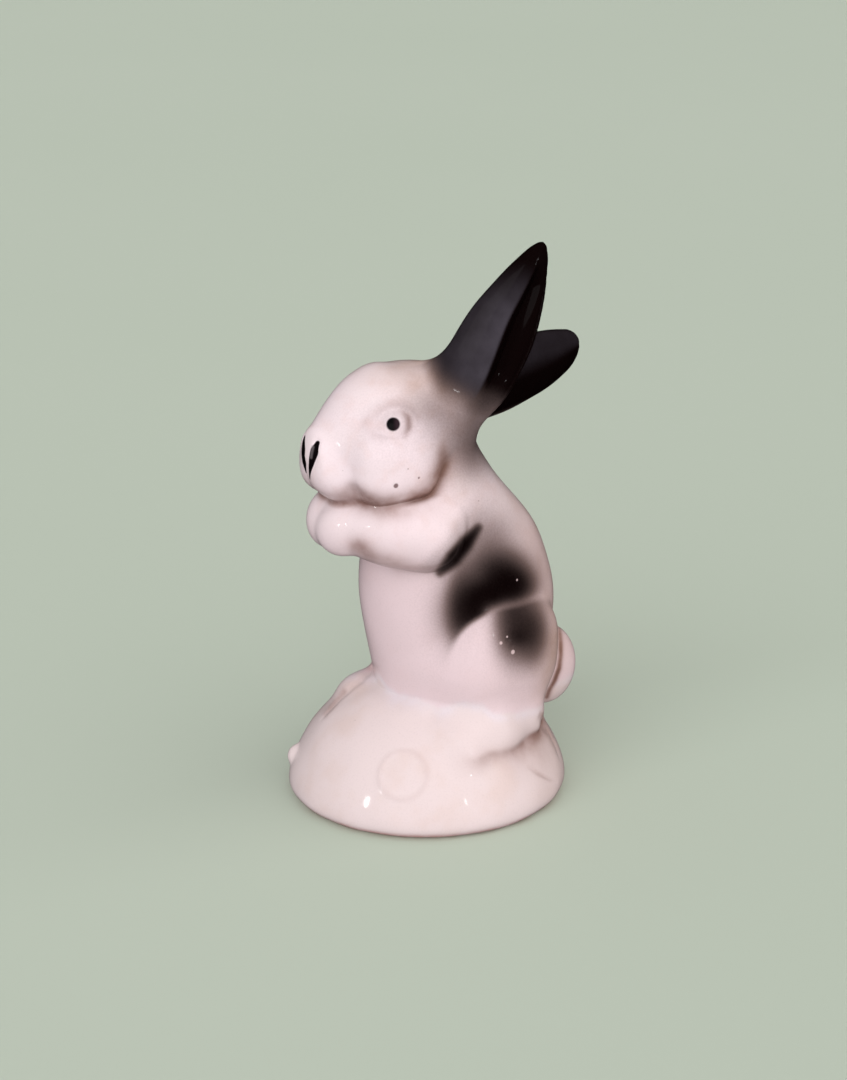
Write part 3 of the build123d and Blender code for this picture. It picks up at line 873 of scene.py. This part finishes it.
# ---------------------------------------------------------------- glaze
class Graph:
    """Short names for the shader nodes used below."""

    def __init__(self, name):
        self.mat = bpy.data.materials.new(name)
        self.mat.use_nodes = True
        self.t = self.mat.node_tree
        self.t.nodes.clear()

    def put(self, socket, value):
        if isinstance(value, bpy.types.NodeSocket):
            self.t.links.new(value, socket)
        elif value is not None:
            socket.default_value = value

    def node(self, kind, **props):
        n = self.t.nodes.new(kind)
        for k, v in props.items():
            setattr(n, k, v)
        return n

    def math(self, op, a, b=None, c=None, clamp=False):
        n = self.node("ShaderNodeMath", operation=op, use_clamp=clamp)
        for s, v in zip(n.inputs, (a, b, c)):
            self.put(s, v)
        return n.outputs[0]

    def vec(self, op, a, b=None, scale=None):
        n = self.node("ShaderNodeVectorMath", operation=op)
        self.put(n.inputs[0], a)
        self.put(n.inputs[1], b)
        if scale is not None:
            self.put(n.inputs["Scale"], scale)
        return n.outputs["Value"] if op in ("LENGTH", "DOT_PRODUCT", "DISTANCE") else n.outputs["Vector"]

    def step(self, v, a, b, lo=0.0, hi=1.0):
        n = self.node("ShaderNodeMapRange", interpolation_type="SMOOTHSTEP")
        for k, x in (("Value", v), ("From Min", a), ("From Max", b), ("To Min", lo), ("To Max", hi)):
            self.put(n.inputs[k], x)
        return n.outputs["Result"]

    def noise(self, vector, scale, detail=3.0, rough=0.5):
        n = self.node("ShaderNodeTexNoise")
        self.put(n.inputs["Vector"], vector)
        self.put(n.inputs["Scale"], scale)
        self.put(n.inputs["Detail"], detail)
        self.put(n.inputs["Roughness"], rough)
        return n.outputs["Fac"]

    def mix(self, f, a, b, how="MIX"):
        n = self.node("ShaderNodeMix", data_type="RGBA", blend_type=how)
        self.put(n.inputs[0], f)
        self.put(n.inputs[6], a)
        self.put(n.inputs[7], b)
        return n.outputs[2]

    def attr(self, name):
        return self.node("ShaderNodeAttribute", attribute_name=name).outputs["Fac"]

    def capsule(self, p, a, b):
        """Distance to the line from a to b, and how far along it, in the units of p."""
        a, b = np.array(a, float), np.array(b, float)
        ab = b - a
        pa = self.vec("SUBTRACT", p, tuple(a))
        h = self.math("MULTIPLY", self.vec("DOT_PRODUCT", pa, tuple(ab)), 1 / float(ab @ ab), clamp=True)
        n = self.node("ShaderNodeVectorMath", operation="SCALE")
        n.inputs[0].default_value = tuple(ab)
        self.put(n.inputs["Scale"], h)
        return self.vec("LENGTH", self.vec("SUBTRACT", pa, n.outputs[0])), h


def rgb(r, g, b):
    """Colour from the 0 to 255 scale of a screen."""
    c = np.array([r, g, b]) / 255
    return tuple(np.where(c <= 0.04045, c / 12.92, ((c + 0.055) / 1.055) ** 2.4)) + (1.0,)


def glaze(name):
    g = Graph(name)
    obj = g.node("ShaderNodeTexCoord").outputs["Object"]
    mm = g.vec("SCALE", obj, scale=1000.0)
    sp = g.node("ShaderNodeSeparateXYZ")
    g.put(sp.inputs[0], mm)
    cb = g.node("ShaderNodeCombineXYZ")
    g.put(cb.inputs[0], g.math("ABSOLUTE", sp.outputs[0]))
    g.put(cb.inputs[1], sp.outputs[1])
    g.put(cb.inputs[2], sp.outputs[2])
    both = cb.outputs[0]  # the same on the left and right
    x, y, z = sp.outputs
    wide = g.noise(mm, 0.045, 2.0)
    mid = g.noise(mm, 0.22, 3.0)
    fine = g.noise(mm, 2.2, 2.0)
    soot, tan, shade_and_stain, crease, low, thick, painted_sheen = (g.attr(k) for k in ("soot", "tan", "shade_and_stain", "crease", "low", "thick", "painted_sheen"))

    # white glaze: pinkish, a little greyer or creamier from place to place
    white = g.mix(g.step(wide, 0.35, 0.68), rgb(246, 231, 234), rgb(241, 227, 228))
    white = g.mix(g.step(mid, 0.45, 0.75, 0.0, 0.5), white, rgb(237, 216, 214))
    # darker and mauver on the body below the head: partly the glaze's own tone, partly painted shade
    trunk = g.step(z, 86.0, 58.0, 0.0, 0.8)
    white = g.mix(trunk, white, rgb(227, 206, 208))
    white = g.mix(g.math("MULTIPLY", low, 0.9), white, rgb(231, 217, 215))
    cloud = g.noise(mm, 0.07, 3.0, 0.55)
    white = g.mix(g.math("MULTIPLY", low, g.step(cloud, 0.48, 0.72, 0.0, 0.4)), white, rgb(222, 200, 190))
    white = g.mix(g.math("MULTIPLY", thick, g.step(mid, 0.3, 0.6, 0.2, 0.55)), white, rgb(233, 225, 232))
    # pink-brown where glaze is thin on the foot's edge
    edge = g.math("MULTIPLY", g.step(z, 2.4, 0.6), g.step(mid, 0.3, 0.6, 0.45, 1.0))
    white = g.mix(g.math("MULTIPLY", edge, 0.75), white, rgb(196, 140, 130))
    # painted shade: pink-brown darkening deep in creases and hollows
    deep = g.step(g.math("ADD", crease, g.math("MULTIPLY", mid, 0.10)), 0.30, 0.85)
    white = g.mix(g.math("MULTIPLY", deep, 0.70), white, rgb(160, 112, 98))
    # painted shade, with a few real brown marks: brown in creases and along joints
    shade_and_stain_amount = g.math("MULTIPLY", shade_and_stain, g.step(mid, 0.25, 0.7, 0.8, 1.1), clamp=True)
    white = g.mix(g.math("MULTIPLY", shade_and_stain_amount, 1.6, clamp=True), white, rgb(160, 124, 114))
    white = g.mix(g.math("MULTIPLY", shade_and_stain_amount, shade_and_stain_amount), white, rgb(54, 33, 29))
    # tan airbrush, partly painted shade on the back, rear and neck
    t = g.math("MULTIPLY", tan, g.step(mid, 0.2, 0.8, 0.8, 1.1))
    colour = g.mix(t, white, rgb(176, 144, 122))
    # black airbrush, at the nape partly painted shade, with a grainy edge
    s = g.math("ADD", soot, g.math("MULTIPLY", g.math("SUBTRACT", fine, 0.5), 0.10))
    haze = g.step(s, 0.0, 0.55)
    colour = g.mix(g.math("MULTIPLY", haze, 0.65), colour, rgb(158, 124, 110))
    cover = g.math("SUBTRACT", 1.0, g.math("POWER", g.math("SUBTRACT", 1.0, s, clamp=True), 1.9), clamp=True)
    colour = g.mix(cover, colour, rgb(13, 5, 5))
    # painted reflection: the ears' bluish-grey sheen laid over the black
    colour = g.mix(g.math("MULTIPLY", painted_sheen, g.step(mid, 0.25, 0.75, 0.8, 1.1), clamp=True), colour, rgb(70, 66, 73))
    # pupil
    pupil = g.vec("DISTANCE", both, tuple(PUPIL))
    aside = g.vec("DOT_PRODUCT", g.vec("SUBTRACT", both, tuple(PUPIL)), tuple(AXES[0]))
    colour = g.mix(g.step(pupil, 1.95, 1.45), colour, g.mix(g.step(aside, -0.3, 1.2), rgb(16, 14, 16), rgb(52, 38, 44)))
    # nostrils: painted drops, wide above and drawn out below
    drop = None
    for line, r in NOSTRILS:
        for a, b, ra, rb in zip(line[:-1], line[1:], r[:-1], r[1:]):
            d, h = g.capsule(mm, a, b)
            d = g.math("SUBTRACT", d, g.math("MULTIPLY_ADD", h, rb - ra, ra))
            drop = d if drop is None else g.math("MINIMUM", drop, d)
    colour = g.mix(g.step(drop, 0.20, -0.08), colour, rgb(14, 10, 12))
    # painted reflection: a lighter grey streak on the rounded edge of the left nostril
    d, h = g.capsule(mm, *NOSTRIL_SHEEN)
    colour = g.mix(g.step(d, 0.75, 0.15, 0.0, 0.6), colour, rgb(120, 112, 114))
    # pinholes in the glaze
    pit = None
    for c, r in PINHOLES:
        d = g.math("SUBTRACT", g.vec("DISTANCE", mm, tuple(c)), r)
        pit = d if pit is None else g.math("MINIMUM", pit, d)
    hole = g.step(pit, 0.25, -0.15)
    colour = g.mix(g.math("MULTIPLY", hole, 0.85), colour, rgb(104, 74, 72))
    # white flecks at small chips in the black: partly the white body showing, partly painted glints
    chip_glint = None
    for c, r in CHIP_GLINTS:
        d = g.math("SUBTRACT", g.vec("DISTANCE", mm, tuple(c)), r)
        chip_glint = d if chip_glint is None else g.math("MINIMUM", chip_glint, d)
    colour = g.mix(g.step(chip_glint, 0.22, -0.12, 0.0, 0.75), colour, rgb(226, 204, 202))
    # a few iron specks
    vo = g.node("ShaderNodeTexVoronoi", feature="F1")
    g.put(vo.inputs["Vector"], mm)
    g.put(vo.inputs["Scale"], 0.16)
    speck = g.step(vo.outputs["Distance"], 0.050, 0.022)
    rare = g.math("GREATER_THAN", g.vec("DOT_PRODUCT", vo.outputs["Color"], (0.33, 0.33, 0.34)), 0.62)
    colour = g.mix(g.math("MULTIPLY", g.math("MULTIPLY", speck, rare), 0.5), colour, rgb(130, 96, 84))

    # glaze surface: slow waves, fine orange peel, pinholes
    waves = g.noise(mm, 0.16, 1.0)
    peel = g.noise(mm, 0.9, 2.0)
    high = g.math("ADD", g.math("MULTIPLY", waves, 0.3), g.math("MULTIPLY", peel, 0.03))
    high = g.math("SUBTRACT", high, g.math("MULTIPLY", hole, 0.4))
    bump = g.node("ShaderNodeBump")
    bump.inputs["Strength"].default_value = 0.35
    bump.inputs["Distance"].default_value = 0.0006
    g.put(bump.inputs["Height"], high)

    b = g.node("ShaderNodeBsdfPrincipled")
    g.put(b.inputs["Base Color"], colour)
    g.put(b.inputs["Roughness"], g.step(fine, 0.2, 0.8, 0.26, 0.36))
    b.inputs["IOR"].default_value = 1.5
    b.inputs["Specular IOR Level"].default_value = 0.05
    b.inputs["Coat Weight"].default_value = 0.5
    b.inputs["Coat Roughness"].default_value = 0.07
    b.inputs["Coat IOR"].default_value = 1.5
    g.put(b.inputs["Normal"], bump.outputs[0])
    g.put(b.inputs["Coat Normal"], bump.outputs[0])
    out = g.node("ShaderNodeOutputMaterial")
    g.put(out.inputs["Surface"], b.outputs[0])
    return g.mat


mats = {"white_glaze": glaze("white_glaze"), "black_glaze": glaze("black_glaze"), "eye_glaze": glaze("eye_glaze")}
slot_of = {n["node"]: n["material_slot"] for n in frame["record"]["subparts"]}
for i, node in enumerate(NAMES):
    ob = piece("glazed_" + node, i, mats[slot_of[node]])
    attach(ob, "root")
    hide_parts(node)

# ---------------------------------------------------------------- stage, light and camera
AZ, EL, DIST = np.radians(65.0), np.radians(19.0), 0.650
target = np.array([-1.642, -0.322, 66.502]) * 0.001
back = np.array([np.sin(AZ) * np.cos(EL), -np.cos(AZ) * np.cos(EL), np.sin(EL)])
right = np.array([np.cos(AZ), np.sin(AZ), 0.0])
level = np.array([np.sin(AZ), -np.cos(AZ), 0.0])

fm = Graph("studio_floor")
fp = fm.node("ShaderNodeNewGeometry").outputs["Position"]
fb = fm.node("ShaderNodeBsdfPrincipled")
fm.put(fb.inputs["Base Color"], fm.mix(fm.noise(fp, 3.0, 3.0), rgb(193, 207, 190), rgb(196, 209, 193)))
fb.inputs["Roughness"].default_value = 0.85
fb.inputs["Specular IOR Level"].default_value = 0.1
fo = fm.node("ShaderNodeOutputMaterial")
fm.put(fo.inputs["Surface"], fb.outputs[0])
me = bpy.data.meshes.new("studio_floor")
me.from_pydata([(-6, -6, 0), (6, -6, 0), (6, 6, 0), (-6, 6, 0)], [], [(0, 1, 2, 3)])
me.materials.append(fm.mat)
floor = bpy.data.objects.new("studio_floor", me)
bpy.context.scene.collection.objects.link(floor)
floor.visible_glossy = False
floor.visible_diffuse = False


def aim(az, el):
    """Direction from the object, az to the camera's right and el above level."""
    a, e = np.radians([az, el])
    return (level * np.cos(a) + right * np.sin(a)) * np.cos(e) + np.array([0, 0, np.sin(e)])


def place(name, li, d, dist):
    ob = bpy.data.objects.new(name, li)
    ob.location = Vector(np.array([0, 0, 0.07]) + d * dist)
    ob.rotation_euler = Vector(-d).to_track_quat("-Z", "Y").to_euler()
    bpy.context.scene.collection.objects.link(ob)
    return ob


def card(name, az, el, dist, w, h, watts, colour=(1, 1, 1)):
    """Bright card or window that shows in the gloss only."""
    li = bpy.data.lights.new(name, "AREA")
    li.shape = "RECTANGLE"
    li.size, li.size_y = w, h
    li.energy = watts
    li.color = colour
    place(name, li, aim(az, el), dist).visible_diffuse = False


def daylight(name, az, el, strength, spread_deg, colour=(1, 1, 1)):
    """Broad even light that leaves no mirror image of itself."""
    li = bpy.data.lights.new(name, "SUN")
    li.energy = strength
    li.angle = np.radians(spread_deg)
    li.color = colour
    place(name, li, aim(az, el), 3.0).visible_glossy = False


daylight("key_light", -25, 24, 1.6, 60, (1.0, 0.98, 1.01))
daylight("right_fill", 58, 22, 1.42, 110, (1.0, 0.93, 0.92))
daylight("top_light", 0, 82, 0.28, 100, (1.0, 0.97, 0.99))
card("left_window", -51, 14, 1.1, 0.027, 0.15, 0.56)
card("right_window", 35, 17, 1.1, 0.018, 0.12, 0.15)
card("front_screen", -26, 15, 1.3, 0.80, 0.92, 0.6, (1.0, 0.94, 0.94))

world = bpy.data.worlds.new("studio")
bpy.context.scene.world = world
world.use_nodes = True
world.node_tree.nodes["Background"].inputs["Color"].default_value = (1.0, 0.955, 0.955, 1)
world.node_tree.nodes["Background"].inputs["Strength"].default_value = 0.415
world.cycles_visibility.glossy = False
bpy.context.scene.view_settings.view_transform = "Standard"

cam = bpy.data.cameras.new("camera")
cam.lens = 2567.0 / 1080.0 * 36.0
cam.sensor_width = 36.0
cam.clip_start, cam.clip_end = 0.01, 50.0
co = bpy.data.objects.new("camera", cam)
co.location = Vector(target + back * DIST)
co.rotation_euler = Vector(-back).to_track_quat("-Z", "Y").to_euler()
bpy.context.scene.collection.objects.link(co)
bpy.context.scene.camera = co
